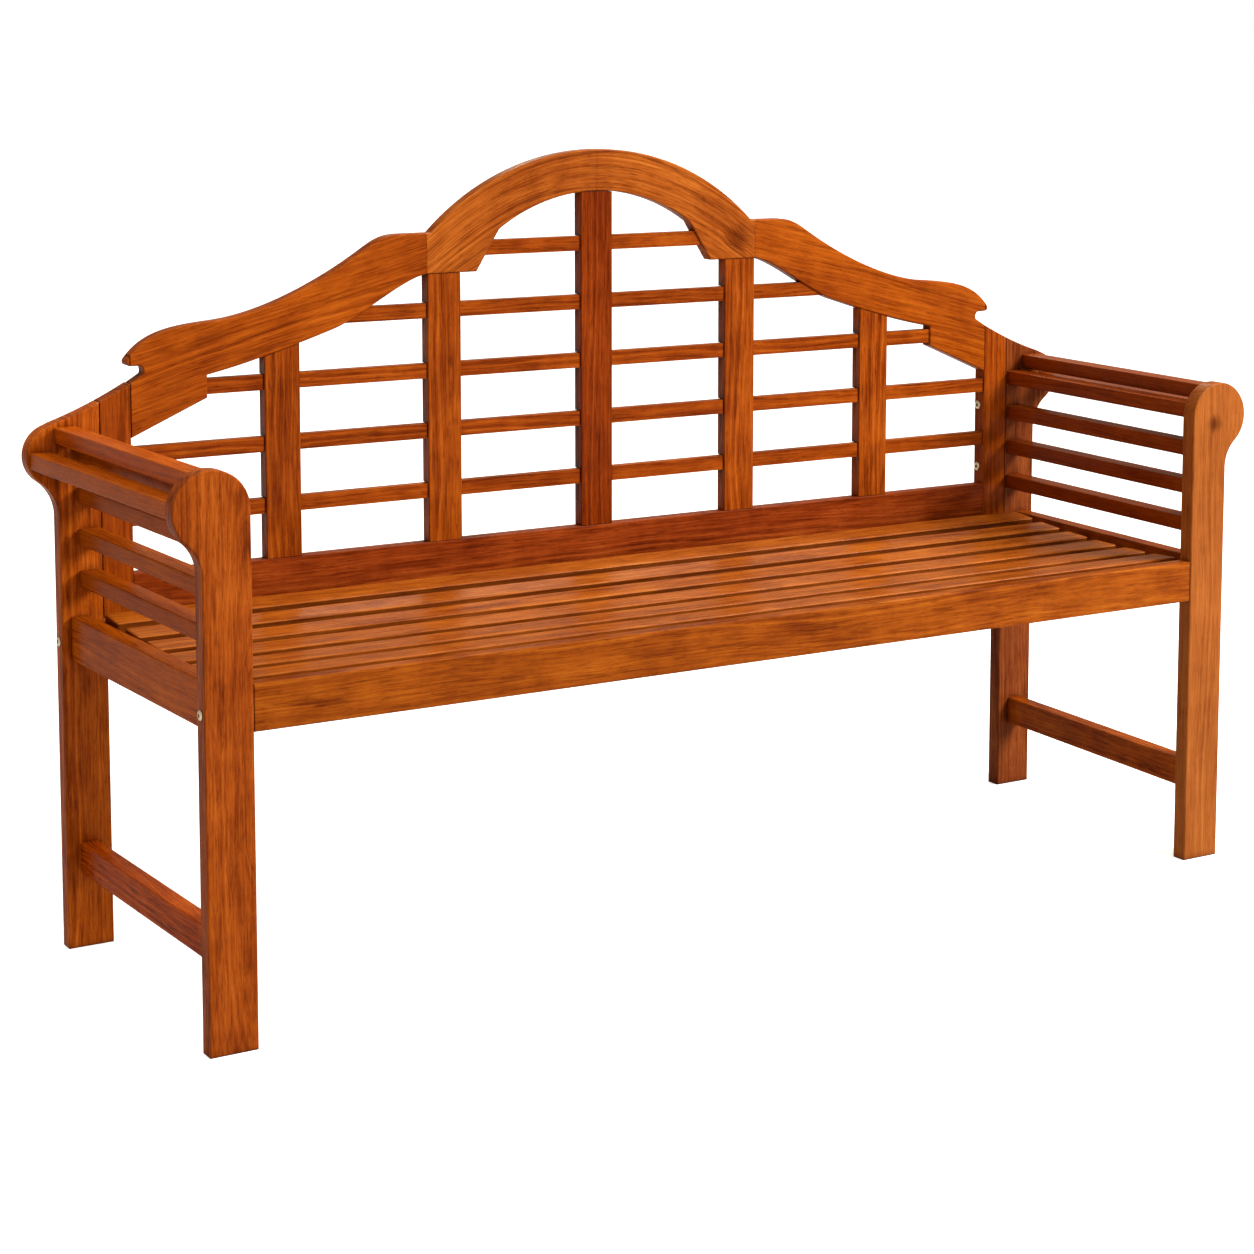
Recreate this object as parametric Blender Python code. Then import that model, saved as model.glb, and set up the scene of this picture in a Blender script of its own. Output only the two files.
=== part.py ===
"""Garden bench with an arched lattice back, scrolled arms and a slatted seat.

Metres, +Z up. +X points to the viewer's right seen from the front, and left and right in the names
are as that viewer sees them. +Y points to the back. The pieces are laid out from the front faces of
the front legs (Y = 0), under a root that puts the origin on the ground below the middle of the bench.
Every board, bolt and nut is its own object. Boards meet in tenons, housings and half laps.
"""
import math

import bmesh
import bpy
from mathutils import Vector

MM = 0.001
GAP = 0.3 * MM                 # working gap left wherever two pieces meet
OVERCUT = 2.0 * MM             # how far a cutter runs past the face it opens

# Leg boards and the plan of the four legs
LEG_WIDTH = 60.0 * MM
LEG_THICK = 23.5 * MM
FRONT_HALF = 762.5 * MM        # centre line to the outer edge of a front leg
REAR_HALF = 777.5 * MM         # the sides splay slightly towards the back
REAR_Y = 441.0 * MM            # front faces of the rear legs and of the whole back
EASE = 1.8 * MM                # eased edges of the boards

# Scroll at the top of a leg: radius, centre from the outer edge (outwards +), centre height
FRONT_SCROLL = (47.0 * MM, -13.0 * MM, 631.0 * MM)
REAR_SCROLL = (40.0 * MM, 0.0, 636.5 * MM)
NECK_Z = 558.0 * MM            # where the hollow neck starts to leave the straight edge
SCROLL_STEP = math.radians(12)

# Sloping shoulder from the rear scroll up to the crest (height over distance from the centre line)
SHOULDER_X = 681.0 * MM
SHOULDER_Z = 722.0 * MM
SHOULDER_SLOPE = -0.55
SHOULDER_CURVE = 1.12          # flattens the slope on the way out, per metre

# Side frames: name, width, height, top, inset of the outer face at the front leg and at the rear leg
RAIL_WIDTH = 28.0 * MM
RAIL_HEIGHT = 21.0 * MM
RAIL_INSET = 24.5 * MM
RAIL_TOP = 649.5 * MM
RAIL_PITCH = 53.6 * MM
RAIL_COUNT = 4
SIDE_BARS = [
    ("side_apron", 23.5 * MM, 56.5 * MM, 430.8 * MM, 12.5 * MM, 12.5 * MM),
    ("side_stretcher", 23.5 * MM, 40.0 * MM, 137.5 * MM, 18.2 * MM, 18.2 * MM),
    ("arm_slat_upper", RAIL_WIDTH, RAIL_HEIGHT, 673.0 * MM, -4.0 * MM, -4.0 * MM),
    ("arm_slat_outer", RAIL_WIDTH, RAIL_HEIGHT, 643.0 * MM, -31.5 * MM, -36.0 * MM),
]
TENON_DEPTH = 10.0 * MM
TENON_SHOULDER = 3.5 * MM
APRON_TENON = (405.0 * MM, 424.0 * MM)   # the side apron's tenon stays above the leg bolt

# Back panel
BACK_THICK = 20.0 * MM
BACK_MIDDLE_Y = REAR_Y + BACK_THICK / 2
BACK_BOTTOM = 424.3 * MM
STILE_IN = 681.0 * MM
STILE_OUT = 722.4 * MM
RAIL_BACK_TOP = 478.0 * MM
BACK_RAIL_Z = (BACK_BOTTOM + RAIL_BACK_TOP) / 2
UPRIGHT_WIDTH = 50.0 * MM
UPRIGHT_PITCH = 236.5 * MM
UPRIGHT_NAMES = ["back_slat_outer_left", "back_slat_inner_left", "back_slat_centre",
                 "back_slat_inner_right", "back_slat_outer_right"]
BACK_TENON = (30.0 * MM, 10.0 * MM, 14.0 * MM)   # width, thickness and depth of an upright's tenon
LATH_THICK = 13.5 * MM
LATH_HEIGHT = 20.5 * MM
LATH_FRONT = REAR_Y + 3.0 * MM
LATH_TOP = 884.0 * MM
LATH_PITCH = 81.4 * MM
LATH_ENDS = [195.0 * MM, 395.0 * MM, 592.0 * MM, 696.0 * MM, 696.0 * MM]   # half lengths, top row first
LAP_Y = LATH_FRONT + 6.0 * MM            # meeting plane of the half laps

# Crest: arch halves and wings
ARCH_TOP = 1003.5 * MM
ARCH_OUTER = 361.0 * MM
ARCH_UNDER = 946.0 * MM
ARCH_INNER = 266.0 * MM
ARCH_INNER_END = 152.0 * MM              # where the round underside meets the haunch
HAUNCH_X = 187.0 * MM
HAUNCH_Z = 842.0 * MM
WING_START = 262.0 * MM
WING_TOP = 897.0 * MM
WING_STEP_X = 577.0 * MM
WING_STEP_Z = (696.5 * MM, 726.0 * MM)
WING_FOOT_Z = 651.5 * MM                 # where the wing's lower edge meets the stile
WING_TENON_Z = (SHOULDER_Z + WING_FOOT_Z) / 2
WING_HOUSING_X = 330.0 * MM              # start of the housing for the second lath
CREST_TONGUE = (28.0 * MM, 10.0 * MM, 15.0 * MM)   # height, thickness and depth
ARCH_JOINT_Z = 875.0 * MM                # tongue between an arch half and its wing
ARCH_STEP = math.radians(5)

# Seat
APRON_THICK = 20.0 * MM
APRON_Y = 1.0 * MM
APRON_BOTTOM = 372.8 * MM
FRONT_APRON_TOP = 429.0 * MM
SLAT_COUNT = 6
SLAT_WIDTH = 45.0 * MM
SLAT_THICK = 15.0 * MM
SLAT_PITCH = 66.4 * MM
SLAT_FIRST_Y = 67.0 * MM
SLAT_END_GAP = 11.5 * MM
SLAT_CORNER = 4.0 * MM
DISH_LOW = (190.0 * MM, 422.5 * MM)      # lowest line of the dished seat: y and z
DISH_CURVE = 0.226                       # rise per metre squared away from that line
BEARER_X = {"seat_bearer_left": -640.0 * MM, "seat_bearer_centre": 0.0, "seat_bearer_right": 640.0 * MM}
BEARER_THICK = 20.0 * MM
BEARER_BOTTOM = 375.0 * MM
BEARER_TONGUE = (380.0 * MM, 400.0 * MM, 8.0 * MM)

# Bolts and barrel nuts
BOLT_RADIUS = 3.0 * MM
HEAD_RADIUS = 6.2 * MM
HEAD_THICK = 2.4 * MM
SOCKET_RADIUS = 2.3 * MM
SOCKET_DEPTH = 1.6 * MM
LEG_BOLT_Z = 398.0 * MM
LEG_BOLT_Y = 12.0 * MM                   # behind the leg's front face
LEG_BOLT_REACH = 35.0 * MM               # past the leg into the apron
NUT_OFFSET = 24.0 * MM
NUT_RADIUS = 5.0 * MM
NUT_COVER = 3.2 * MM                     # wood left in front of a barrel nut
ROUND_SIDES = 24
STILE_BOLT_Y = 15.0 * MM
STILE_BOLTS = {"upper": 598.0 * MM, "lower": 503.0 * MM}
STILE_BOLT_REACH = 28.0 * MM

SIDES = {"left": -1, "right": 1}
HARDWOOD = (0.43, 0.13, 0.028)
BRASS = (0.78, 0.60, 0.28)


# Scene and materials

def clear_scene():
    for obj in list(bpy.data.objects):
        bpy.data.objects.remove(obj, do_unlink=True)


def principled(name, colour, roughness, metallic=0.0):
    mat = bpy.data.materials.new(name)
    mat.use_nodes = True
    shader = mat.node_tree.nodes["Principled BSDF"]
    shader.inputs["Base Color"].default_value = (*colour, 1.0)
    shader.inputs["Roughness"].default_value = roughness
    shader.inputs["Metallic"].default_value = metallic
    mat.diffuse_color = (*colour, 1.0)
    return mat


def wood(name, shade=1.0):
    """Glossy hardwood, a little lighter or darker from board to board."""
    return principled(name + "_wood", tuple(channel * shade for channel in HARDWOOD), 0.38)


def add_object(name, bm, material, location=(0, 0, 0)):
    bmesh.ops.recalc_face_normals(bm, faces=bm.faces)
    mesh = bpy.data.meshes.new(name)
    bm.to_mesh(mesh)
    bm.free()
    mesh.materials.append(material)
    obj = bpy.data.objects.new(name, mesh)
    obj.location = location
    obj.parent = ROOT
    bpy.context.collection.objects.link(obj)
    return obj


def ease_edges(obj, width=EASE):
    bevel = obj.modifiers.new("eased_edges", "BEVEL")
    bevel.width = width
    bevel.segments = 2
    bevel.limit_method = "ANGLE"
    bevel.angle_limit = math.radians(40)


def add_boolean(obj, operation, tool_name, bm):
    tool = add_object(tool_name, bm, CUTTER_MATERIAL)
    tool.hide_render = True
    tool.display_type = "WIRE"
    boolean = obj.modifiers.new(tool_name, "BOOLEAN")
    boolean.operation = operation
    boolean.solver = "EXACT"
    boolean.object = tool


def cut(obj, cutter_name, bm):
    """Subtract the closed bodies in bm from an object."""
    add_boolean(obj, "DIFFERENCE", cutter_name, bm)


def join(obj, extra_name, bm):
    """Add the closed bodies in bm to an object."""
    add_boolean(obj, "UNION", extra_name, bm)


# Curves used by the outlines, as (x, z) points

def arc(centre, radius, start, end, step=SCROLL_STEP):
    count = max(2, math.ceil(abs(end - start) / step))
    points = []
    for i in range(count + 1):
        angle = start + (end - start) * i / count
        points.append((centre[0] + radius * math.cos(angle), centre[1] + radius * math.sin(angle)))
    return points


def bezier(p0, p1, p2, p3, count=7):
    """Cubic curve without its first point, so that curves can be chained."""
    points = []
    for i in range(1, count + 1):
        t = i / count
        weights = ((1 - t) ** 3, 3 * t * (1 - t) ** 2, 3 * t * t * (1 - t), t ** 3)
        points.append(tuple(sum(w * p[k] for w, p in zip(weights, (p0, p1, p2, p3))) for k in (0, 1)))
    return points


def in_mm(*pairs):
    return [(x * MM, z * MM) for x, z in pairs]


# Solids

def loft(bm, loops):
    """Closed body through rings of equal length, capped at both ends."""
    rings = [[bm.verts.new(point) for point in loop] for loop in loops]
    for ring, following in zip(rings, rings[1:]):
        for i in range(len(ring)):
            j = (i + 1) % len(ring)
            bm.faces.new((ring[i], ring[j], following[j], following[i]))
    bm.faces.new(rings[0])
    bm.faces.new(list(reversed(rings[-1])))


def rounded_section(width, height, radius=EASE, steps=2):
    """Ring of (u, v) around the origin for a board with eased edges."""
    points = []
    corners = ((1, 1, 0), (-1, 1, 90), (-1, -1, 180), (1, -1, 270))
    for sign_u, sign_v, first in corners:
        centre = (sign_u * (width / 2 - radius), sign_v * (height / 2 - radius))
        points += arc(centre, radius, math.radians(first), math.radians(first + 90), math.radians(90 / steps))
    return points


def box(bm, low, high):
    corners = [(low[0], low[1]), (high[0], low[1]), (high[0], high[1]), (low[0], high[1])]
    loft(bm, [[Vector((x, y, z)) for x, y in corners] for z in (low[2], high[2])])


def cylinder(bm, start, end, radius, sides=ROUND_SIDES):
    """Round bar between two points."""
    axis = Vector(end) - Vector(start)
    turn = Vector((0, 0, 1)).rotation_difference(axis)
    ring = [turn @ Vector((x, z, 0)) for x, z in arc((0, 0), radius, 0, math.tau, math.tau / sides)[:-1]]
    loft(bm, [[Vector(point) + offset for offset in ring] for point in (start, end)])


def profile_board(name, outline, y_front, thickness, side, material):
    """Flat board cut to an outline in X and Z, mirrored to the given side."""
    bm = bmesh.new()
    loft(bm, [[Vector((side * x, y, z)) for x, z in outline] for y in (0.0, thickness)])
    obj = add_object(name, bm, material, (0, y_front, 0))
    ease_edges(obj)
    return obj


# Side frames

def edge_inset(y, inset_front, inset_rear):
    """Distance from the centre line of a bar's outer face, which follows the splay of the side."""
    t = (y - LEG_THICK) / (REAR_Y - LEG_THICK)
    return (FRONT_HALF - inset_front) * (1 - t) + (REAR_HALF - inset_rear) * t


def side_bars():
    """Name, width, height, top and insets of every bar between a front and a rear leg."""
    bars = list(SIDE_BARS)
    for i in range(RAIL_COUNT):
        name = "side_rail_%d" % (i + 1)
        bars.append((name, RAIL_WIDTH, RAIL_HEIGHT, RAIL_TOP - i * RAIL_PITCH, RAIL_INSET, RAIL_INSET))
    return bars


def tenon_span(bar):
    """Lower and upper face of a bar's tenons."""
    name, _, height, top = bar[:4]
    if name == "side_apron":
        return APRON_TENON
    return top - height + TENON_SHOULDER, top - TENON_SHOULDER


def bar_ring(bar, side, y, full, grow=0.0):
    """Section of a bar at y: the whole board, or its tenon when full is False."""
    _, width, height, top, inset_front, inset_rear = bar
    outer = edge_inset(y, inset_front, inset_rear)
    if full:
        low, high, half = top - height, top, width / 2
    else:
        low, high = tenon_span(bar)
        half = width / 2 - TENON_SHOULDER
    centre_x, centre_z = outer - width / 2, (low + high) / 2
    ring = rounded_section(2 * (half + grow), high - low + 2 * grow)
    return [Vector((side * (centre_x + u), y, centre_z + v)) for u, v in ring]


def build_side_bar(bar, side, side_name, shade):
    front, rear = LEG_THICK + GAP, REAR_Y - GAP
    stations = [(front - TENON_DEPTH, False), (front, False), (front, True),
                (rear, True), (rear, False), (rear + TENON_DEPTH, False)]
    bm = bmesh.new()
    loft(bm, [bar_ring(bar, side, y, full) for y, full in stations])
    name = "%s_%s" % (bar[0], side_name)
    add_object(name, bm, wood(name, shade))


def leg_pockets(side, rear):
    """Mortises for every bar that enters a leg."""
    bm = bmesh.new()
    face, inwards = (REAR_Y, 1) if rear else (LEG_THICK, -1)
    for bar in side_bars():
        mouth = face - inwards * OVERCUT
        floor = face + inwards * (TENON_DEPTH + 2 * GAP)
        loft(bm, [bar_ring(bar, side, y, False, GAP) for y in (mouth, floor)])
    return bm


def scroll_outline(half, scroll, end_angle):
    """From the outer edge through the hollow neck and round the scroll."""
    radius, offset, centre_z = scroll
    centre = (half + offset, centre_z)
    drop = centre_z - NECK_Z
    neck = (drop ** 2 + offset ** 2 - radius ** 2) / (2 * (radius + offset))
    neck_centre = (half + neck, NECK_Z)
    tangent = math.atan2(neck_centre[1] - centre[1], neck_centre[0] - centre[0])
    points = arc(neck_centre, neck, math.pi, math.pi + tangent)
    return points + arc(centre, radius, tangent, end_angle)[1:]


def shoulder_z(x):
    run = x - SHOULDER_X
    return SHOULDER_Z + SHOULDER_SLOPE * run + SHOULDER_CURVE * run ** 2


def front_leg_outline():
    inner = FRONT_HALF - LEG_WIDTH
    outline = [(inner, 0.0), (FRONT_HALF, 0.0)]
    outline += scroll_outline(FRONT_HALF, FRONT_SCROLL, math.pi)
    return outline


def rear_leg_outline():
    """The rear leg narrows above the seat to take the stile, and its top joins the shoulder."""
    inner = REAR_HALF - LEG_WIDTH
    rebate = STILE_OUT + GAP
    outline = [(inner, 0.0), (REAR_HALF, 0.0)]
    slope_out = SHOULDER_SLOPE + 2 * SHOULDER_CURVE * (REAR_HALF - SHOULDER_X)
    outline += scroll_outline(REAR_HALF, REAR_SCROLL, math.pi / 2 + math.atan(slope_out))
    scroll_end = outline[-1][0]
    for i in range(1, 5):
        x = scroll_end + (rebate - scroll_end) * i / 4
        outline.append((x, shoulder_z(x)))
    step = BACK_BOTTOM - GAP
    return outline + [(rebate, step), (inner, step)]


def leg_bolt_hole(bm, side, half, y):
    """Clearance hole for the bolt that pulls an apron against a leg."""
    depth = LEG_WIDTH + OVERCUT
    cylinder(bm, (side * (half + OVERCUT), y, LEG_BOLT_Z), (side * (half - depth), y, LEG_BOLT_Z),
             BOLT_RADIUS + GAP)


def build_side(side_name, side):
    name = "front_leg_" + side_name
    leg = profile_board(name, front_leg_outline(), 0.0, LEG_THICK, side, wood(name, 1.04))
    pockets = leg_pockets(side, rear=False)
    leg_bolt_hole(pockets, side, FRONT_HALF, LEG_BOLT_Y)
    cut(leg, name + "_cutter", pockets)

    name = "rear_leg_" + side_name
    leg = profile_board(name, rear_leg_outline(), REAR_Y, LEG_THICK, side, wood(name, 0.96))
    pockets = leg_pockets(side, rear=True)
    leg_bolt_hole(pockets, side, REAR_HALF, REAR_Y + LEG_BOLT_Y)
    for z in STILE_BOLTS.values():
        reach = STILE_OUT + STILE_BOLT_REACH + 2 * GAP
        cylinder(pockets, (side * (STILE_OUT - OVERCUT), REAR_Y + STILE_BOLT_Y, z),
                 (side * reach, REAR_Y + STILE_BOLT_Y, z), BOLT_RADIUS + GAP)
    cut(leg, name + "_cutter", pockets)

    for i, bar in enumerate(side_bars()):
        build_side_bar(bar, side, side_name, 0.9 + 0.04 * (i % 4))


# Crest

def arch_outline():
    """Half of the arch, from its top centre round to the haunch."""
    outer_centre = (0.0, ARCH_TOP - ARCH_OUTER)
    inner_centre = (0.0, ARCH_UNDER - ARCH_INNER)
    foot = math.asin((WING_TOP - outer_centre[1]) / ARCH_OUTER)
    top = math.acos(GAP / 2 / ARCH_OUTER)
    outline = arc(outer_centre, ARCH_OUTER, top, foot, ARCH_STEP)
    joint = WING_START - GAP / 2
    outline += [(joint, WING_TOP), (joint, HAUNCH_Z), (HAUNCH_X, HAUNCH_Z)]
    spring = math.acos(ARCH_INNER_END / ARCH_INNER)
    under = math.acos(GAP / 2 / ARCH_INNER)
    return outline + arc(inner_centre, ARCH_INNER, spring, under, ARCH_STEP)


def wing_top_edge():
    """From the flat shoulder beside the arch down the long sweep to the ear."""
    points = [(WING_START + GAP / 2, WING_TOP)] + in_mm((300, 897))
    points += bezier(*in_mm((300, 897), (322, 897), (334, 891), (352, 879)), 4)
    points += bezier(*in_mm((352, 879), (402, 846.5), (485, 804), (560, 796)))
    points += bezier(*in_mm((560, 796), (610, 791.5), (655, 790), (684, 753)))
    return points


def wing_ear():
    """Rounded nose of the ear and the small notch under it."""
    return in_mm((686, 748.5), (684, 744.5), (679, 743.5), (665, 743), (662.5, 739), (663.5, 732.5))


def wing_lower_edge():
    """From the stile up to the step and along the curve to the inner upright."""
    end = STILE_IN - GAP
    points = [(end, SHOULDER_Z), (end, WING_FOOT_Z)]
    points += [(WING_STEP_X, z) for z in WING_STEP_Z]
    points += bezier(*in_mm((577, 726), (520, 737), (455, 757), (400, 775)))
    points += bezier(*in_mm((400, 775), (360, 788), (300, 836), (262.15, 842)))
    return points


def wing_outline():
    return wing_top_edge() + wing_ear() + wing_lower_edge()


def under_crest_z(x):
    """Height of the crest's lower edge at a distance x from the centre line."""
    if x < ARCH_INNER_END:
        return ARCH_UNDER - ARCH_INNER + math.sqrt(ARCH_INNER ** 2 - x ** 2)
    if x < WING_START:
        return HAUNCH_Z
    edge = wing_lower_edge()
    for (xa, za), (xb, zb) in zip(edge, edge[1:]):
        if xb <= x < xa:
            return za + (zb - za) * (x - xa) / (xb - xa)
    return SHOULDER_Z


def tongue(bm, x_from, x_to, z_centre, height, grow=0.0):
    """Tongue or its slot, centred in the thickness of the back."""
    half = CREST_TONGUE[1] / 2 + grow
    box(bm, (min(x_from, x_to), BACK_MIDDLE_Y - half, z_centre - height / 2 - grow),
        (max(x_from, x_to), BACK_MIDDLE_Y + half, z_centre + height / 2 + grow))


def lath_span(row):
    top = LATH_TOP - row * LATH_PITCH
    return top - LATH_HEIGHT, top


def lath_pocket(bm, row, side, x_from):
    """Housing for the end of one lath."""
    low, high = lath_span(row)
    ends = (side * x_from, side * (LATH_ENDS[row] + GAP))
    box(bm, (min(ends), LATH_FRONT - GAP, low - GAP),
        (max(ends), LATH_FRONT + LATH_THICK + GAP, high + GAP))


def upright_mortise(bm, x, z_from, z_to):
    width, thick, _ = BACK_TENON
    box(bm, (x - width / 2 - GAP, BACK_MIDDLE_Y - thick / 2 - GAP, z_from),
        (x + width / 2 + GAP, BACK_MIDDLE_Y + thick / 2 + GAP, z_to))


def upright_top_mortise(bm, x):
    """Mortise for the top tenon of the upright at x."""
    low = min(under_crest_z(abs(x) - BACK_TENON[0] / 2), under_crest_z(abs(x) + BACK_TENON[0] / 2))
    upright_mortise(bm, x, low - OVERCUT, upright_tenon_top(x) + GAP)


def upright_tenon_top(x):
    return max(under_crest_z(abs(x) - BACK_TENON[0] / 2), under_crest_z(abs(x))) + BACK_TENON[2]


def build_arch_half(side_name, side):
    """The halves meet at the crown, where the left one's tongue enters the right one."""
    height, _, reach = CREST_TONGUE
    name = "crest_arch_" + side_name
    arch = profile_board(name, arch_outline(), REAR_Y, BACK_THICK, side, wood(name, 1.06))
    slots = bmesh.new()
    tongue(slots, side * (WING_START - reach - GAP), side * (WING_START + OVERCUT), ARCH_JOINT_Z, height, GAP)
    lath_pocket(slots, 0, side, ARCH_INNER_END)
    upright_top_mortise(slots, side * UPRIGHT_PITCH)
    upright_top_mortise(slots, 0.0)
    crown_z = (ARCH_TOP + ARCH_UNDER) / 2 + BACK_TENON[2] / 2
    if side > 0:
        tongue(slots, -OVERCUT, reach + GAP, crown_z, height / 2, GAP)
    cut(arch, name + "_cutter", slots)
    if side < 0:
        crown = bmesh.new()
        tongue(crown, -2 * OVERCUT, reach, crown_z, height / 2)
        join(arch, name + "_tongue", crown)


def build_wing(side_name, side):
    height, _, reach = CREST_TONGUE
    name = "crest_wing_" + side_name
    wing = profile_board(name, wing_outline(), REAR_Y, BACK_THICK, side, wood(name, 0.94))
    slots = bmesh.new()
    lath_pocket(slots, 1, side, WING_HOUSING_X)
    lath_pocket(slots, 2, side, WING_STEP_X - OVERCUT)
    upright_top_mortise(slots, side * 2 * UPRIGHT_PITCH)
    cut(wing, name + "_cutter", slots)
    tenons = bmesh.new()
    tongue(tenons, side * (WING_START - reach), side * (WING_START + 2 * OVERCUT), ARCH_JOINT_Z, height)
    tongue(tenons, side * (STILE_IN - 2 * OVERCUT), side * (STILE_IN + reach), WING_TENON_Z, height)
    join(wing, name + "_tenons", tenons)


# Back panel

def build_stile(side_name, side):
    name = "back_stile_" + side_name
    shoulder = [STILE_IN + (STILE_OUT - STILE_IN) * i / 3 for i in range(4)]
    outline = [(STILE_OUT, BACK_BOTTOM), (STILE_IN, BACK_BOTTOM)] + [(x, shoulder_z(x)) for x in shoulder]
    stile = profile_board(name, outline, REAR_Y, LEG_THICK, side, wood(name, 1.0))
    slots = bmesh.new()
    height, _, reach = CREST_TONGUE
    tongue(slots, side * (STILE_IN - OVERCUT), side * (STILE_IN + reach + GAP), WING_TENON_Z, height, GAP)
    tongue(slots, side * (STILE_IN - OVERCUT), side * (STILE_IN + reach + GAP), BACK_RAIL_Z, height, GAP)
    for row in (3, 4):
        lath_pocket(slots, row, side, STILE_IN - OVERCUT)
    for z in STILE_BOLTS.values():
        cylinder(slots, (side * (STILE_IN - OVERCUT), REAR_Y + STILE_BOLT_Y, z),
                 (side * (STILE_OUT + OVERCUT), REAR_Y + STILE_BOLT_Y, z), BOLT_RADIUS + GAP)
    cut(stile, name + "_cutter", slots)


def build_back_rail():
    """Bottom rail of the back, tenoned into both stiles and carrying the uprights."""
    end = STILE_IN - GAP
    height, thick, reach = CREST_TONGUE
    body = rounded_section(BACK_THICK, RAIL_BACK_TOP - BACK_BOTTOM)
    tenon = rounded_section(thick, height)
    stations = [(-end - reach, tenon), (-end, tenon), (-end, body), (end, body), (end, tenon),
                (end + reach, tenon)]
    bm = bmesh.new()
    loft(bm, [[Vector((x, u, v)) for u, v in ring] for x, ring in stations])
    name = "back_bottom_rail"
    rail = add_object(name, bm, wood(name, 0.92), (0, BACK_MIDDLE_Y, BACK_RAIL_Z))
    slots = bmesh.new()
    for x in upright_positions():
        upright_mortise(slots, x, RAIL_BACK_TOP - BACK_TENON[2] - GAP, RAIL_BACK_TOP + OVERCUT)
    cut(rail, name + "_cutter", slots)


def upright_positions():
    middle = (len(UPRIGHT_NAMES) - 1) / 2
    return [(i - middle) * UPRIGHT_PITCH for i in range(len(UPRIGHT_NAMES))]


def build_upright(name, x, shade):
    """Vertical slat: tenoned into the bottom rail and the crest, half lapped over the laths."""
    body = rounded_section(UPRIGHT_WIDTH, BACK_THICK)
    tenon = rounded_section(BACK_TENON[0], BACK_TENON[1])

    def shoulder(u):
        return under_crest_z(abs(x + u)) - GAP

    foot = RAIL_BACK_TOP + GAP
    loops = [[Vector((u, v, foot - BACK_TENON[2])) for u, v in tenon],
             [Vector((u, v, foot)) for u, v in tenon],
             [Vector((u, v, foot)) for u, v in body],
             [Vector((u, v, shoulder(u))) for u, v in body],
             [Vector((u, v, shoulder(u))) for u, v in tenon],
             [Vector((u, v, upright_tenon_top(x))) for u, v in tenon]]
    bm = bmesh.new()
    loft(bm, loops)
    upright = add_object(name, bm, wood(name, shade), (x, BACK_MIDDLE_Y, 0))
    laps = bmesh.new()
    for row in range(len(LATH_ENDS)):
        low, high = lath_span(row)
        if LATH_ENDS[row] > abs(x):
            box(laps, (x - UPRIGHT_WIDTH, LAP_Y - GAP, low - GAP),
                (x + UPRIGHT_WIDTH, REAR_Y + BACK_THICK + OVERCUT, high + GAP))
    cut(upright, name + "_cutter", laps)


def build_lath(row, shade):
    """Horizontal lath, notched from the front where it crosses an upright."""
    low, high = lath_span(row)
    end = LATH_ENDS[row]
    back = LATH_FRONT + LATH_THICK
    plan = [(end, back), (-end, back), (-end, LATH_FRONT)]
    notch = UPRIGHT_WIDTH / 2 + GAP
    for x in upright_positions():
        if abs(x) < end:
            plan += [(x - notch, LATH_FRONT), (x - notch, LAP_Y), (x + notch, LAP_Y), (x + notch, LATH_FRONT)]
    plan.append((end, LATH_FRONT))
    bm = bmesh.new()
    loft(bm, [[Vector((x, y, z)) for x, y in plan] for z in (0.0, high - low)])
    name = "back_lath_%d" % (row + 1)
    add_object(name, bm, wood(name, shade), (0, 0, low))


# Seat

def dish_z(y):
    return DISH_LOW[1] + DISH_CURVE * (y - DISH_LOW[0]) ** 2


def build_seat_slat(index):
    """Plank with rounded corners, laid along the dished seat."""
    y = SLAT_FIRST_Y + index * SLAT_PITCH
    apron_inset = SIDE_BARS[0][4] + SIDE_BARS[0][1]
    half_length = edge_inset(y, apron_inset, apron_inset) - SLAT_END_GAP
    plan = rounded_section(2 * half_length, SLAT_WIDTH, SLAT_CORNER, 3)
    bm = bmesh.new()
    loft(bm, [[Vector((u, v, z)) for u, v in plan] for z in (-SLAT_THICK, 0.0)])
    name = "seat_slat_%d" % (index + 1)
    slat = add_object(name, bm, wood(name, 0.98 + 0.03 * (index % 3)), (0, y, dish_z(y)))
    slat.rotation_euler.x = math.atan(2 * DISH_CURVE * (y - DISH_LOW[0]))
    ease_edges(slat)


def bearer_outline():
    """Side view of a seat bearer as (y, z): hollow top edge and a tongue at each end."""
    front, rear = APRON_Y + APRON_THICK + GAP, REAR_Y + APRON_Y - GAP
    low, high, reach = BEARER_TONGUE
    outline = [(front, low), (front, BEARER_BOTTOM), (rear, BEARER_BOTTOM), (rear, low),
               (rear + reach, low), (rear + reach, high), (rear, high)]
    steps = 12
    for i in range(steps + 1):
        y = rear + (front - rear) * i / steps
        outline.append((y, dish_z(y) - SLAT_THICK - 2 * GAP))
    return outline + [(front, high), (front - reach, high), (front - reach, low)]


def build_bearer(name, x):
    bm = bmesh.new()
    half = BEARER_THICK / 2
    loft(bm, [[Vector((u, y, z)) for y, z in bearer_outline()] for u in (-half, half)])
    add_object(name, bm, wood(name, 0.85), (x, 0, 0))


def bearer_slot(bm, x, face, inwards):
    low, high, reach = BEARER_TONGUE
    depths = (face - inwards * OVERCUT, face + inwards * (reach + GAP))
    half = BEARER_THICK / 2 + GAP
    box(bm, (x - half, min(depths), low - GAP), (x + half, max(depths), high + GAP))


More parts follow.
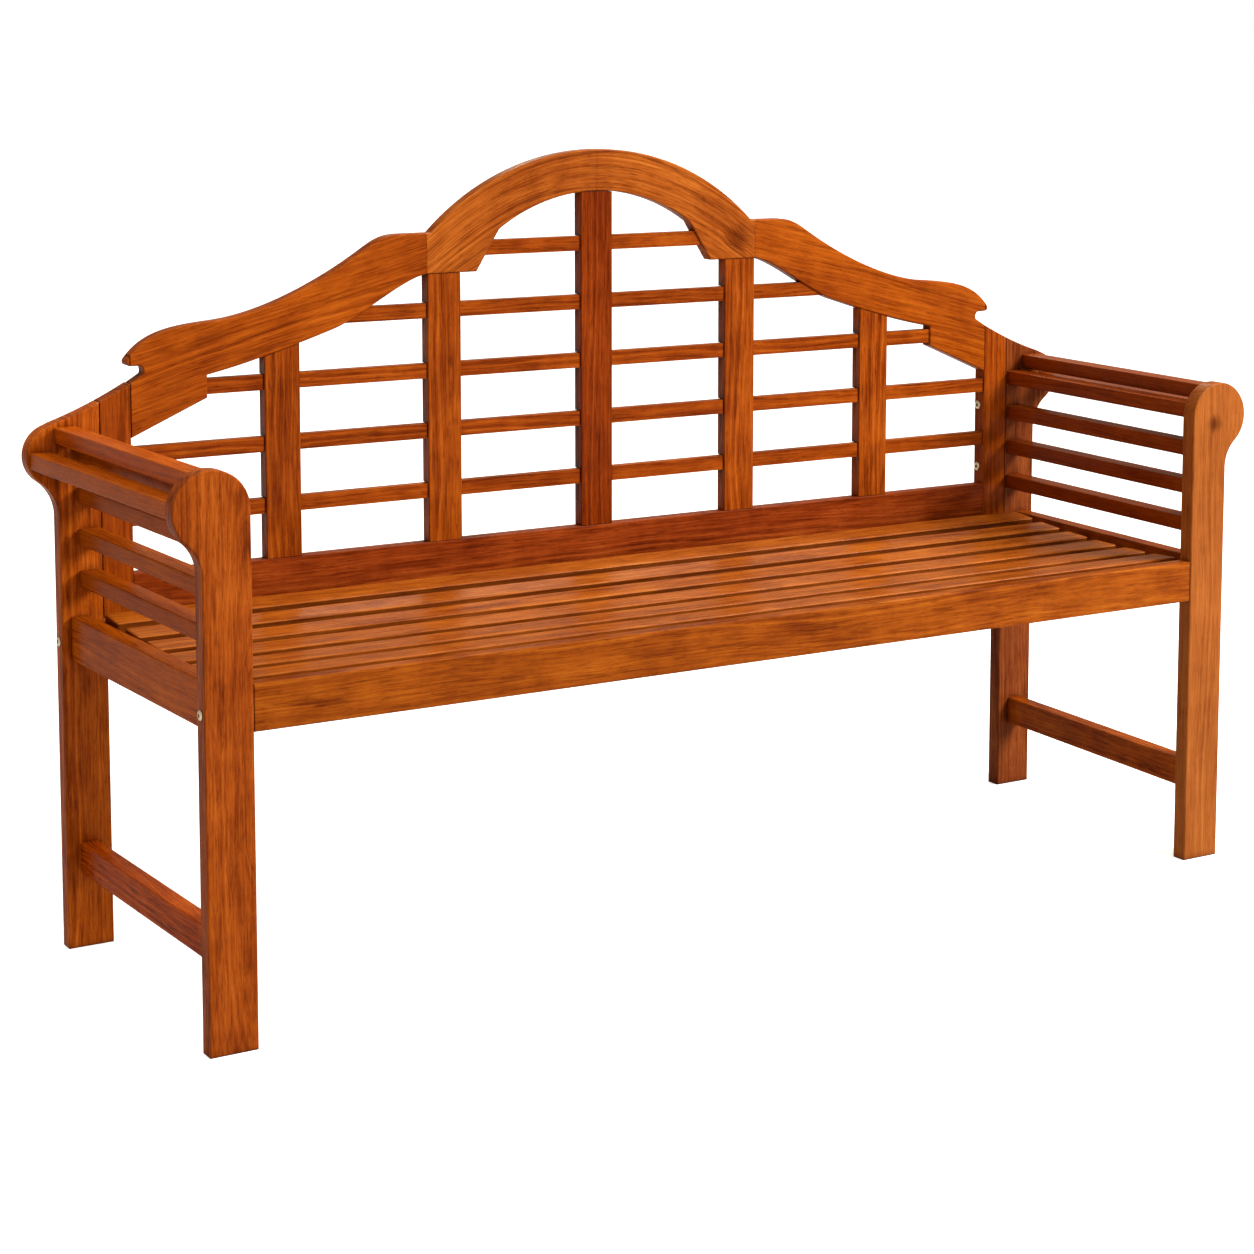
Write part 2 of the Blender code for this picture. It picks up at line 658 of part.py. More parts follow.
def build_apron(name, half, y_front, top, bearer_face, inwards, shade):
    """Long rail between two legs, bolted through the legs into barrel nuts."""
    section = rounded_section(APRON_THICK, top - APRON_BOTTOM)
    centre = (0, y_front + APRON_THICK / 2, (top + APRON_BOTTOM) / 2)
    bm = bmesh.new()
    loft(bm, [[Vector((x, u, v)) for u, v in section] for x in (-half + GAP, half - GAP)])
    apron = add_object(name, bm, wood(name, shade), centre)
    slots = bmesh.new()
    for x in BEARER_X.values():
        bearer_slot(slots, x, bearer_face, inwards)
    bolt_y = y_front - APRON_Y + LEG_BOLT_Y
    for side in SIDES.values():
        cylinder(slots, (side * (half + OVERCUT), bolt_y, LEG_BOLT_Z),
                 (side * (half - LEG_BOLT_REACH - 2 * GAP), bolt_y, LEG_BOLT_Z), BOLT_RADIUS + GAP)
    cut(apron, name + "_cutter", slots)
    bores = bmesh.new()
    for side in SIDES.values():
        x = side * (half - NUT_OFFSET)
        cylinder(bores, (x, y_front + NUT_COVER, LEG_BOLT_Z),
                 (x, y_front + APRON_THICK + OVERCUT, LEG_BOLT_Z), NUT_RADIUS + GAP)
    cut(apron, name + "_nut_bores", bores)


# Hardware

def build_bolt(name, head, direction, length, y, z):
    """Hex socket bolt along X; head is the x of the face that its head bears on."""
    bm = bmesh.new()
    seat = head + direction * GAP
    rings = [(seat + direction * length, BOLT_RADIUS), (seat, BOLT_RADIUS), (seat, HEAD_RADIUS),
             (seat - direction * 0.6 * HEAD_THICK, HEAD_RADIUS),
             (seat - direction * HEAD_THICK, 0.8 * HEAD_RADIUS)]
    ring = arc((0, 0), 1.0, 0, math.tau, math.tau / ROUND_SIDES)[:-1]
    loft(bm, [[Vector((x, radius * u, radius * v)) for u, v in ring] for x, radius in rings])
    for face in bm.faces:
        face.smooth = len(face.verts) == 4
    bolt = add_object(name, bm, principled(name + "_brass", BRASS, 0.3, 1.0), (0, y, z))
    socket = bmesh.new()
    top = seat - direction * (HEAD_THICK + OVERCUT)
    floor = seat - direction * (HEAD_THICK - SOCKET_DEPTH)
    cylinder(socket, (top, y, z), (floor, y, z), SOCKET_RADIUS, 6)
    cut(bolt, name + "_socket", socket)


def build_nut(name, x, y_front, y_bolt):
    """Barrel nut lying across the bolt inside an apron."""
    bm = bmesh.new()
    cylinder(bm, (0, y_front + NUT_COVER + GAP, 0), (0, y_front + APRON_THICK - MM, 0), NUT_RADIUS)
    for face in bm.faces:
        face.smooth = len(face.verts) == 4
    nut = add_object(name, bm, principled(name + "_brass", BRASS, 0.4, 1.0), (x, 0, LEG_BOLT_Z))
    hole = bmesh.new()
    span = 2 * NUT_RADIUS
    cylinder(hole, (x - span, y_bolt, LEG_BOLT_Z), (x + span, y_bolt, LEG_BOLT_Z), BOLT_RADIUS + GAP)
    cut(nut, name + "_hole", hole)


def build_hardware(side_name, side):
    for place, half, leg_y in (("front", FRONT_HALF, 0.0), ("rear", REAR_HALF, REAR_Y)):
        bolt_y = leg_y + LEG_BOLT_Y
        length = LEG_WIDTH + LEG_BOLT_REACH
        build_bolt("apron_bolt_%s_%s" % (place, side_name), side * (half + GAP), -side,
                   length, bolt_y, LEG_BOLT_Z)
        x = side * (half - LEG_WIDTH - NUT_OFFSET)
        build_nut("barrel_nut_%s_%s" % (place, side_name), x, leg_y + APRON_Y, bolt_y)
    for place, z in STILE_BOLTS.items():
        length = STILE_OUT - STILE_IN + STILE_BOLT_REACH
        build_bolt("stile_bolt_%s_%s" % (place, side_name), side * (STILE_IN - GAP), side, length,
                   REAR_Y + STILE_BOLT_Y, z)


def build_bench():
    for side_name, side in SIDES.items():
        build_side(side_name, side)
        build_arch_half(side_name, side)
        build_wing(side_name, side)
        build_stile(side_name, side)
        build_hardware(side_name, side)
    build_back_rail()
    for i, (name, x) in enumerate(zip(UPRIGHT_NAMES, upright_positions())):
        build_upright(name, x, 0.95 + 0.05 * (i % 3))
    for row in range(len(LATH_ENDS)):
        build_lath(row, 0.9 + 0.05 * (row % 3))
    for index in range(SLAT_COUNT):
        build_seat_slat(index)
    for name, x in BEARER_X.items():
        build_bearer(name, x)
    build_apron("front_apron", FRONT_HALF - LEG_WIDTH, APRON_Y, FRONT_APRON_TOP,
                APRON_Y + APRON_THICK, -1, 1.0)
    build_apron("rear_apron", REAR_HALF - LEG_WIDTH, REAR_Y + APRON_Y, BACK_BOTTOM - GAP,
                REAR_Y + APRON_Y, 1, 0.88)


clear_scene()
ROOT = bpy.data.objects.new("garden_bench", None)
ROOT.location.y = -(REAR_Y + LEG_THICK) / 2      # the origin is under the middle of the bench
bpy.context.collection.objects.link(ROOT)
CUTTER_MATERIAL = principled("cutter", (0.5, 0.5, 0.5), 0.5)
build_bench()
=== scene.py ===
"""Looks of the garden bench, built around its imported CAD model.

Curved boards and bolts are rebuilt finer than their CAD nodes. Straight boards keep their CAD shape,
smoothly shaded. Every board has its own cut of the same procedural hardwood, with the grain along
the board. +X is the viewer's right, +Y the back, +Z up; metres.
"""
import math
import random
from collections import namedtuple

import bmesh
import bpy
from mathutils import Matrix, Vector


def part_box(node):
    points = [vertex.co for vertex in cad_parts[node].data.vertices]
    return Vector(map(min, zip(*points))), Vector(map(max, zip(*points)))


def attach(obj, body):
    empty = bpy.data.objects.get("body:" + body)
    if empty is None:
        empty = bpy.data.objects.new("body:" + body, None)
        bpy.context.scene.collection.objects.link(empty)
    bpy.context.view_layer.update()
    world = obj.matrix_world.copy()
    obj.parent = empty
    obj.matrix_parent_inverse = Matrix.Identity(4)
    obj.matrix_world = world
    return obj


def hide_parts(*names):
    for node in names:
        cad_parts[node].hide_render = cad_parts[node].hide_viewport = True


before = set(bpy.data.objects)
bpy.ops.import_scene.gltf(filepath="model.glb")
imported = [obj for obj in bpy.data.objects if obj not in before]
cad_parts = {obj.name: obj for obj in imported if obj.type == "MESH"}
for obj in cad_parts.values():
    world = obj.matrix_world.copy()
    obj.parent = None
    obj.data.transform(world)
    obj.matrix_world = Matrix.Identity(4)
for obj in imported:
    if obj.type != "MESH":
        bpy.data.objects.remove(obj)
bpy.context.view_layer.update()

MM = 0.001
SIDES = {"left": -1, "right": 1}

# Boards (the same sizes as the CAD model)
LEG_WIDTH = 60.0 * MM
LEG_THICK = 23.5 * MM
BACK_THICK = 20.0 * MM
FRONT_HALF = 762.5 * MM        # centre line to the outer edge of a front leg
REAR_HALF = 777.5 * MM
FRONT_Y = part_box("front_leg_left")[0].y
REAR_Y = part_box("rear_leg_left")[0].y
FRONT_SCROLL = (47.0 * MM, -13.0 * MM, 631.0 * MM)   # radius, centre from the outer edge, height
REAR_SCROLL = (40.0 * MM, 0.0, 636.5 * MM)
NECK_Z = 558.0 * MM
SHOULDER_X = 681.0 * MM
SHOULDER_Z = 722.0 * MM
SHOULDER_SLOPE = -0.55
SHOULDER_CURVE = 1.12
STILE_IN = 681.0 * MM
STILE_OUT = 722.4 * MM
BACK_BOTTOM = 424.3 * MM
GAP = 0.3 * MM
CREST_GAP = 0.06 * MM           # glued joints of the crest, closed tight

ARCH_TOP = 1003.5 * MM
ARCH_OUTER = 361.0 * MM
ARCH_UNDER = 946.0 * MM
ARCH_INNER = 266.0 * MM
ARCH_INNER_END = 152.0 * MM
HAUNCH_X = 187.0 * MM
HAUNCH_Z = 842.0 * MM
WING_START = 262.0 * MM
WING_TOP = 897.0 * MM
WING_STEP_X = 577.0 * MM
WING_STEP_LOW = 696.5 * MM
WING_STEP_HIGH = 726.0 * MM
WING_FOOT_Z = 651.5 * MM

# Edges
EASE = 2.2 * MM                 # rounding of the shaped boards
LATH_EASE = 1.3 * MM
LATH_CORNER = math.radians(50)  # edges sharper than this are eased on a lath
TIGHT_JOINT = 0.05              # share of the rounding left where boards are glued flush
OPEN_JOINT = 0.60               # and where a fine groove shows between them
JOINT_REACH = 0.6 * MM          # how far from a joint's x a point still counts as on it
SHARP_BEND = math.radians(25)   # bends of an outline above this get their own rounding
BEND_SHARE = 0.5
WELD_REACH = 0.01 * MM
FACE_WEIGHT = 90                # how strongly large faces keep their own shading
FINE_STEP = math.radians(2.5)

# Bolts
HEAD_RADIUS = 6.2 * MM
HEAD_THICK = 2.4 * MM
HEAD_PROFILE = ((0.0, 0.4), (0.3, 0.0), (0.9, 0.0), (1.5, 0.5), (2.0, 1.5), (2.35, 2.8))  # mm: up, inwards
SHANK_RADIUS = 3.0 * MM
SOCKET_RADIUS = 2.9 * MM
SOCKET_DEPTH = 4.0 * MM
SOCKET_LIP = (0.25 * MM, 0.2 * MM)                       # width and depth of its bevelled rim
BOLT_STEPS = 48                                          # points round a bolt


# Outlines, as (x, z) points

def arc(centre, radius, start, end, step=FINE_STEP):
    count = max(2, math.ceil(abs(end - start) / step))
    points = []
    for i in range(count + 1):
        angle = start + (end - start) * i / count
        points.append((centre[0] + radius * math.cos(angle), centre[1] + radius * math.sin(angle)))
    return points


def bezier(*corners, count=18):
    """Cubic curve through four points given in millimetres, without its first point."""
    points = []
    for i in range(1, count + 1):
        t = i / count
        weights = ((1 - t) ** 3, 3 * t * (1 - t) ** 2, 3 * t * t * (1 - t), t ** 3)
        points.append(tuple(MM * sum(w * p[k] for w, p in zip(weights, corners)) for k in (0, 1)))
    return points


def in_mm(*pairs):
    return [(x * MM, z * MM) for x, z in pairs]


def shoulder_z(x):
    run = x - SHOULDER_X
    return SHOULDER_Z + SHOULDER_SLOPE * run + SHOULDER_CURVE * run ** 2


def scroll_outline(half, scroll, end_angle):
    """From the outer edge through the hollow neck and round the scroll."""
    radius, offset, centre_z = scroll
    centre = (half + offset, centre_z)
    drop = centre_z - NECK_Z
    neck = (drop ** 2 + offset ** 2 - radius ** 2) / (2 * (radius + offset))
    neck_centre = (half + neck, NECK_Z)
    tangent = math.atan2(neck_centre[1] - centre[1], neck_centre[0] - centre[0])
    points = arc(neck_centre, neck, math.pi, math.pi + tangent)
    return points + arc(centre, radius, tangent, end_angle)[1:]


def front_leg_outline():
    foot = [(FRONT_HALF - LEG_WIDTH, 0.0), (FRONT_HALF, 0.0)]
    return foot + scroll_outline(FRONT_HALF, FRONT_SCROLL, math.pi)


def rear_leg_outline():
    inner = REAR_HALF - LEG_WIDTH
    rebate = STILE_OUT + GAP
    slope_out = SHOULDER_SLOPE + 2 * SHOULDER_CURVE * (REAR_HALF - SHOULDER_X)
    outline = [(inner, 0.0), (REAR_HALF, 0.0)]
    outline += scroll_outline(REAR_HALF, REAR_SCROLL, math.pi / 2 + math.atan(slope_out))
    start = outline[-1][0]
    steps = 10
    for i in range(1, steps + 1):
        x = start + (rebate - start) * i / steps
        outline.append((x, shoulder_z(x)))
    return outline + [(rebate, BACK_BOTTOM - GAP), (inner, BACK_BOTTOM - GAP)]


def stile_outline():
    steps = 8
    top = [STILE_IN + (STILE_OUT - STILE_IN) * i / steps for i in range(steps + 1)]
    return [(STILE_OUT, BACK_BOTTOM), (STILE_IN, BACK_BOTTOM)] + [(x, shoulder_z(x)) for x in top]


def arch_outline():
    outer_centre = (0.0, ARCH_TOP - ARCH_OUTER)
    inner_centre = (0.0, ARCH_UNDER - ARCH_INNER)
    foot = math.asin((WING_TOP - outer_centre[1]) / ARCH_OUTER)
    joint = WING_START - CREST_GAP / 2
    outline = arc(outer_centre, ARCH_OUTER, math.acos(CREST_GAP / 2 / ARCH_OUTER), foot)
    outline += [(joint, WING_TOP), (joint, HAUNCH_Z), (HAUNCH_X, HAUNCH_Z)]
    spring = math.acos(ARCH_INNER_END / ARCH_INNER)
    return outline + arc(inner_centre, ARCH_INNER, spring, math.acos(CREST_GAP / 2 / ARCH_INNER))


def wing_outline():
    """Flat shoulder, long sweep, ear, notch, and back along the lower edge."""
    points = [(WING_START + CREST_GAP / 2, WING_TOP)] + in_mm((300, 897))
    points += bezier((300, 897), (322, 897), (334, 891), (352, 879), count=10)
    points += bezier((352, 879), (402, 846.5), (485, 804), (560, 796))
    points += bezier((560, 796), (610, 791.5), (655, 790), (684, 753))
    points += bezier((684, 753), (687, 748.5), (686, 743.8), (679, 743.5), count=8)
    points += in_mm((670, 743.4))
    points += bezier((670, 743.4), (664, 743.2), (661.5, 739), (663.5, 732.5), count=8)
    points += [(STILE_IN - GAP, SHOULDER_Z), (STILE_IN - GAP, WING_FOOT_Z)]
    points += [(WING_STEP_X, WING_STEP_LOW), (WING_STEP_X, WING_STEP_HIGH)]
    points += bezier((577, 726), (520, 737), (455, 757), (400, 775))
    end = ((WING_START + CREST_GAP / 2) / MM, HAUNCH_Z / MM)
    points += bezier((400, 775), (360, 788), (300, 836), end)
    return points


# Wood

class Graph:
    """Short-hand for adding nodes to a material."""

    def __init__(self, material):
        material.use_nodes = True
        self.tree = material.node_tree
        self.shader = self.tree.nodes["Principled BSDF"]

    def add(self, kind, inputs=None, **settings):
        node = self.tree.nodes.new("ShaderNode" + kind)
        for name, value in settings.items():
            setattr(node, name, value)
        for name, value in (inputs or {}).items():
            self.feed(node.inputs[name], value)
        return node

    def feed(self, socket, value):
        if isinstance(value, bpy.types.NodeSocket):
            self.tree.links.new(value, socket)
        else:
            socket.default_value = value

    def math(self, operation, *values):
        node = self.add("Math", operation=operation)
        for socket, value in zip(node.inputs, values):
            self.feed(socket, value)
        return node.outputs[0]

    def noise(self, vector, stretch, scale, detail, roughness=0.5):
        """Noise at so many cells a metre, stretched differently along each axis."""
        mapping = self.add("Mapping", {"Vector": vector, "Scale": stretch})
        node = self.add("TexNoise", {"Vector": mapping.outputs[0], "Scale": scale, "Detail": detail,
                                     "Roughness": roughness})
        return node

    def ramp(self, factor, stops):
        node = self.add("ValToRGB", {"Fac": factor})
        elements = node.color_ramp.elements
        while len(elements) < len(stops):
            elements.new(0.5)
        for element, (place, colour) in zip(elements, stops):
            element.position = place
            element.color = (*colour, 1.0)
        return node.outputs[0]

    def remap(self, value, low, high, new_low, new_high):
        """Smooth step from new_low, at and below low, to new_high, at and above high."""
        node = self.add("MapRange", {"Value": value, "From Min": low, "From Max": high,
                                     "To Min": new_low, "To Max": new_high})
        node.interpolation_type = "SMOOTHSTEP"
        return node.outputs[0]

    def mix(self, blend, factor, a, b):
        node = self.add("Mix", data_type="RGBA", blend_type=blend)
        for socket, value in zip((node.inputs[0], node.inputs[6], node.inputs[7]), (factor, a, b)):
            self.feed(socket, value)
        return node.outputs[2]


# Heartwood colours from the darkest growth lines to the palest wood between them
PALETTE = [(0.10, (0.066, 0.0090, 0.0009)), (0.36, (0.205, 0.0330, 0.0024)),
           (0.60, (0.360, 0.0735, 0.0058)), (0.90, (0.515, 0.1380, 0.0145))]
EDGE_HIGHLIGHT = (0.74, 0.290, 0.070)       # painted highlight along the upward-facing edges
EDGE_SHADE = (0.46, 0.36, 0.26, 1.0)  # painted shade along the other edges
EDGE_REACH = 2.6 * MM
SHADE_AND_SEAM = (0.20, 0.13, 0.10, 1.0)    # painted shade in gaps, corners and slat sides; dark joint lines
SHADE_REACH = 22.0 * MM
DARK_GRAIN = (0.42, 0.31, 0.25, 1.0)
KNOT_WOOD = (0.26, 0.15, 0.10, 1.0)
RINGS_PER_METRE = 190.0
CUT_SPREAD = 9.0                    # metres between cuts, so that no two boards are alike
WOOD_IOR = 1.3

# Noise in the wood: stretch across the grain, cells a metre, detail and roughness
LAYERS = {
    "fibre": (30.0, 17.0, 6.0, 0.66), "pores": (14.0, 75.0, 2.0, 0.50), "cloud": (2.6, 5.5, 3.0, 0.55),
    "mottle": (3.4, 15.0, 3.0, 0.60), "curl": (0.35, 34.0, 2.0, 0.50), "streak": (11.0, 8.0, 4.0, 0.60),
    "flecks": (10.0, 30.0, 3.0, 0.60),
}
# How far each layer moves the colour along the palette
WEIGHTS = {"bands": 0.68, "fibre": 0.78, "cloud": 0.58, "mottle": 0.50, "curl": 0.22}
# Dark marks: the noise at which they start, and their strength where it passes MARK_FULL
MARKS = {"streak": (0.54, 0.75), "flecks": (0.58, 0.60), "pores": (0.57, 0.65)}
MARK_FULL = 0.68

# One board's wood. turn is the Euler angles that lay X along the grain, figure the strength of the
# markings, sweep how fast the grain falls away from the middle of the bench, the flag after sweep whether
# the sides between slats get painted shade, and seam the distance from the middle to a dark joint line, or
# None. The colour against the palette carries painted light and shade as well as the board's own tone.
Timber = namedtuple("Timber", "centre turn seed tone tilt heart figure knots sheen sweep sawn_sides seam")


def near_knot(g, where, place, radius):
    """1 at the centre of a knot, falling to 0 about two radii away."""
    offset = g.add("VectorMath", operation="DISTANCE")
    g.feed(offset.inputs[0], where)
    g.feed(offset.inputs[1], place)
    return g.remap(offset.outputs["Value"], radius * 0.3, radius * 2.4, 1.0, 0.0)


def growth_rings(g, board, cut, draw, tilt, heart):
    """Distance from a heart line that is tilted and bent against the board."""
    bend = g.add("SeparateColor", {"Color": g.noise(cut, (1.0, 4.0, 4.0), 2.6, 2.0).outputs["Color"]})
    waver = g.add("SeparateColor", {"Color": g.noise(cut, (1.0, 3.0, 3.0), 14.0, 2.0).outputs["Color"]})
    axes = g.add("SeparateXYZ", {"Vector": board})
    lean = g.math("MULTIPLY", axes.outputs["X"], tilt * draw.choice((-1, 1)))
    across = g.math("ADD", g.math("ADD", axes.outputs["Y"], draw.uniform(-0.03, 0.01)), lean)
    depth = g.math("ADD", axes.outputs["Z"], heart + draw.uniform(-0.01, 0.01))
    across = g.math("MULTIPLY_ADD", bend.outputs[0], 0.040, across)
    across = g.math("MULTIPLY_ADD", waver.outputs[0], 0.007, across)
    depth = g.math("MULTIPLY_ADD", bend.outputs[1], 0.040, depth)
    squares = g.math("ADD", g.math("MULTIPLY", across, across), g.math("MULTIPLY", depth, depth))
    return g.math("SQRT", squares)


def swept(g, where, sweep):
    """Space bent so that level grain rises towards the middle of the bench, as in the arch."""
    axes = g.add("SeparateXYZ", {"Vector": where})
    rise = g.math("MULTIPLY", g.math("MULTIPLY", axes.outputs["X"], axes.outputs["X"]), sweep)
    return g.add("CombineXYZ", {"X": axes.outputs["X"], "Y": axes.outputs["Y"],
                                "Z": g.math("ADD", axes.outputs["Z"], rise)}).outputs[0]


def grain_layers(g, cut, ring):
    """Growth bands and the noise layers of a cut, by name."""
    layers = {"bands": g.add("TexNoise", {"W": g.math("MULTIPLY", ring, RINGS_PER_METRE), "Scale": 1.0,
                                          "Detail": 4.0, "Roughness": 0.60},
                             noise_dimensions="1D").outputs["Fac"]}
    for name, (across, scale, detail, roughness) in LAYERS.items():
        layers[name] = g.noise(cut, (1.0, across, across), scale, detail, roughness).outputs["Fac"]
    return layers


def figured(g, layers, timber):
    """Colour of the clear wood, moved along the palette by the layers."""
    grain = 0.50
    for layer, weight in WEIGHTS.items():
        grain = g.math("MULTIPLY_ADD", g.math("SUBTRACT", layers[layer], 0.5), weight * timber.figure, grain)
    stops = [(place, tuple(c * t for c, t in zip(shade, timber.tone))) for place, shade in PALETTE]
    return g.ramp(grain, stops)


def painted_edge_light(g, colour, level, cloud, tone):
    """Painted highlight, in patches, along the upward-facing edges and painted shade along the others."""
    inside = g.add("AmbientOcclusion", {"Distance": EDGE_REACH}, inside=True, samples=4).outputs["AO"]
    edge = g.remap(inside, 0.35, 0.80, 1.0, 0.0)
    upper = g.remap(level, 0.05, 0.55, 0.0, 1.0)
    edge_highlight = g.math("MULTIPLY", g.math("MULTIPLY", edge, upper), g.remap(cloud, 0.38, 0.60, 0.35, 0.85))
    lower = g.math("MULTIPLY", g.math("MULTIPLY", edge, g.math("SUBTRACT", 1.0, upper)), 0.55)
    colour = g.mix("MULTIPLY", lower, colour, EDGE_SHADE)
    return g.mix("MIX", edge_highlight, colour, (*(c * t for c, t in zip(EDGE_HIGHLIGHT, tone)), 1.0))


def shaded_recesses(g, colour, level, where, timber):
    """Painted shade in gaps and corners and on the sides and undersides of the seat slats, and the dark line
    of a joint.
    """
    open_air = g.add("AmbientOcclusion", {"Distance": SHADE_REACH}, samples=4).outputs["AO"]
    # painted shade wherever other surfaces are close by
    colour = g.mix("MULTIPLY", g.remap(open_air, 0.25, 0.70, 0.88, 0.0), colour, SHADE_AND_SEAM)
    if timber.sawn_sides:
        # painted shade on the faces of a seat slat that do not face up
        colour = g.mix("MULTIPLY", g.remap(level, -0.05, 0.30, 0.80, 0.0), colour, SHADE_AND_SEAM)
    if timber.seam:
        across = g.math("ABSOLUTE", g.add("SeparateXYZ", {"Vector": where}).outputs["X"])
        apart = g.math("ABSOLUTE", g.math("SUBTRACT", across, timber.seam))
        colour = g.mix("MULTIPLY", g.remap(apart, 0.5 * MM, 1.7 * MM, 0.85, 0.0), colour, SHADE_AND_SEAM)
    return colour


def hardwood(name, timber):
    """Oiled heartwood, one cut of it."""
    draw = random.Random(timber.seed)
    material = bpy.data.materials.new(name)
    g = Graph(material)
    where = g.add("TexCoord").outputs["Object"]
    space = swept(g, where, timber.sweep) if timber.sweep else where
    board = g.add("Mapping", {"Vector": space, "Location": timber.centre, "Rotation": timber.turn},
                  vector_type="TEXTURE").outputs[0]
    move = g.add("VectorMath", operation="ADD")
    g.feed(move.inputs[0], board)
    g.feed(move.inputs[1], tuple(draw.uniform(-CUT_SPREAD, CUT_SPREAD) for _ in range(3)))
    cut = move.outputs[0]

    ring = growth_rings(g, board, cut, draw, timber.tilt, timber.heart)
    for place, radius, swirl, _ in timber.knots:
        ring = g.math("MULTIPLY_ADD", near_knot(g, where, place, radius), swirl, ring)
    layers = grain_layers(g, cut, ring)
    marks = {layer: g.remap(layers[layer], start, MARK_FULL, 0.0, strength * timber.figure)
             for layer, (start, strength) in MARKS.items()}

    colour = figured(g, layers, timber)
    for mark in marks.values():
        colour = g.mix("MULTIPLY", mark, colour, DARK_GRAIN)
    for place, radius, _, dark in timber.knots:
        knot = g.math("MULTIPLY", near_knot(g, where, place, radius), dark)
        colour = g.mix("MULTIPLY", knot, colour, KNOT_WOOD)
    level = g.add("SeparateXYZ", {"Vector": g.add("NewGeometry").outputs["Normal"]}).outputs["Z"]
    # painted highlight on the upper edges, painted shade on the others
    colour = painted_edge_light(g, colour, level, layers["cloud"], timber.tone)
    # painted shade in gaps, corners and on the seat slat sides, and dark joint lines
    colour = shaded_recesses(g, colour, level, where, timber)

    g.feed(g.shader.inputs["Base Color"], colour)
    g.feed(g.shader.inputs["Roughness"], g.remap(layers["fibre"], 0.3, 0.7, 0.20, 0.34))
    height = g.math("SUBTRACT", g.math("MULTIPLY_ADD", layers["bands"], 0.35, layers["fibre"]),
                    marks["pores"])
    bump = g.add("Bump", {"Height": height, "Strength": 0.12, "Distance": 0.25 * MM})
    g.feed(g.shader.inputs["Normal"], bump.outputs[0])
    g.shader.inputs["Specular IOR Level"].default_value = timber.sheen
    g.shader.inputs["IOR"].default_value = WOOD_IOR
    return material


def brass():
    material = bpy.data.materials.new("brass")
    g = Graph(material)
    where = g.add("TexCoord").outputs["Object"]
    marks = g.noise(where, (1.0, 1.0, 1.0), 900.0, 4.0).outputs["Fac"]
    colour = g.ramp(marks, [(0.30, (0.92, 0.74, 0.44)), (0.70, (1.00, 0.90, 0.66))])
    # painted shade in the hex socket and where the head meets the wood
    open_air = g.add("AmbientOcclusion", {"Distance": 6.0 * MM}, samples=4).outputs["AO"]
    colour = g.mix("MULTIPLY", g.remap(open_air, 0.45, 0.90, 0.97, 0.0), colour, (0.05, 0.03, 0.02, 1.0))
    g.feed(g.shader.inputs["Base Color"], colour)
    g.feed(g.shader.inputs["Roughness"], g.remap(marks, 0.3, 0.7, 0.26, 0.42))
    bump = g.add("Bump", {"Height": marks, "Strength": 0.15, "Distance": 0.1 * MM})
    g.feed(g.shader.inputs["Normal"], bump.outputs[0])
    g.shader.inputs["Metallic"].default_value = 0.8
    return material


# Grain directions, as Euler angles that turn X onto them
ALONG_X = (0.0, 0.0, 0.0)
ALONG_Y = (0.0, 0.0, math.radians(90))
ALONG_Z = (0.0, math.radians(-90), 0.0)
ARCH_SEED = 14                  # both halves are cut from one plank
ARCH_SWEEP = 1.5                # how fast the grain of the arch falls away from the crown, per metre
WING_GRAIN = math.radians(14)


def sloping(angle):
    """Grain in the plane of the back that rises to the right by an angle."""
    return (0.0, -angle, 0.0)


# Colour of each group of boards against the palette: the wood's own tone with painted light and shade in it.
# Boards on the left are lighter for light from the left, the right front leg is lighter and bluer for light
# near the right, and the right rear leg and the boards of the right side are darker for the bench's own
# shade.
# The first name that a board starts with counts
TONES_AND_PAINTED_LIGHT = {
    "front_leg_right": (0.94, 1.32, 2.90), "front_leg": (0.96, 0.94, 1.00),
    "rear_leg_left": (1.32, 1.36, 1.20), "rear_leg_right": (0.61, 0.67, 1.60),
    "crest_arch": (1.08, 1.27, 1.60), "crest_wing": (0.98, 0.97, 0.60),
    "back_stile": (0.90, 0.82, 0.60), "back_slat_centre": (0.61, 0.45, 0.35),
    "back_slat": (0.94, 0.92, 0.70), "back_lath": (0.83, 0.75, 0.52), "back_bottom": (0.72, 0.57, 0.90),
    "front_apron": (0.80, 0.85, 0.60), "rear_apron": (0.80, 0.76, 0.55),
    "seat_slat": (1.07, 1.28, 1.15), "seat_bearer": (0.70, 0.64, 0.50),
    "side_apron_left": (1.21, 1.18, 0.42), "side_apron": (0.78, 0.70, 0.55),
    "side_stretcher_left": (1.30, 1.01, 0.35), "side_stretcher": (0.91, 0.84, 0.45),
    "arm_slat_outer_left": (1.21, 1.15, 0.35), "arm_slat_upper_left": (1.30, 1.20, 0.38),
    "arm_slat": (0.78, 0.66, 0.50),
    "side_rail_1_left": (1.02, 0.96, 0.35), "side_rail_2_left": (1.14, 1.10, 0.38),
    "side_rail_3_left": (1.14, 1.10, 0.38), "side_rail_4_left": (1.02, 0.96, 0.35),
    "side_rail": (0.70, 0.58, 0.48),
}
# Strength of the markings, where the board is plainer than most
FIGURES = {"front_leg_right": 0.45, "arm_slat": 0.40, "side_rail": 0.45, "side_apron": 0.60,
           "seat_slat": 0.62, "crest_wing": 0.72, "back_stile": 0.75}
PLAIN_FIGURE = 0.85
# How glossy the finish is; the seat and arms are rubbed smoothest
SHEENS = {"seat_slat": 0.18, "arm_slat": 0.14}
PLAIN_SHEEN = 0.08
VERTICAL = ("front_leg", "rear_leg", "back_stile", "back_slat")
ALONG_SIDE = ("side_", "arm_slat", "seat_bearer")

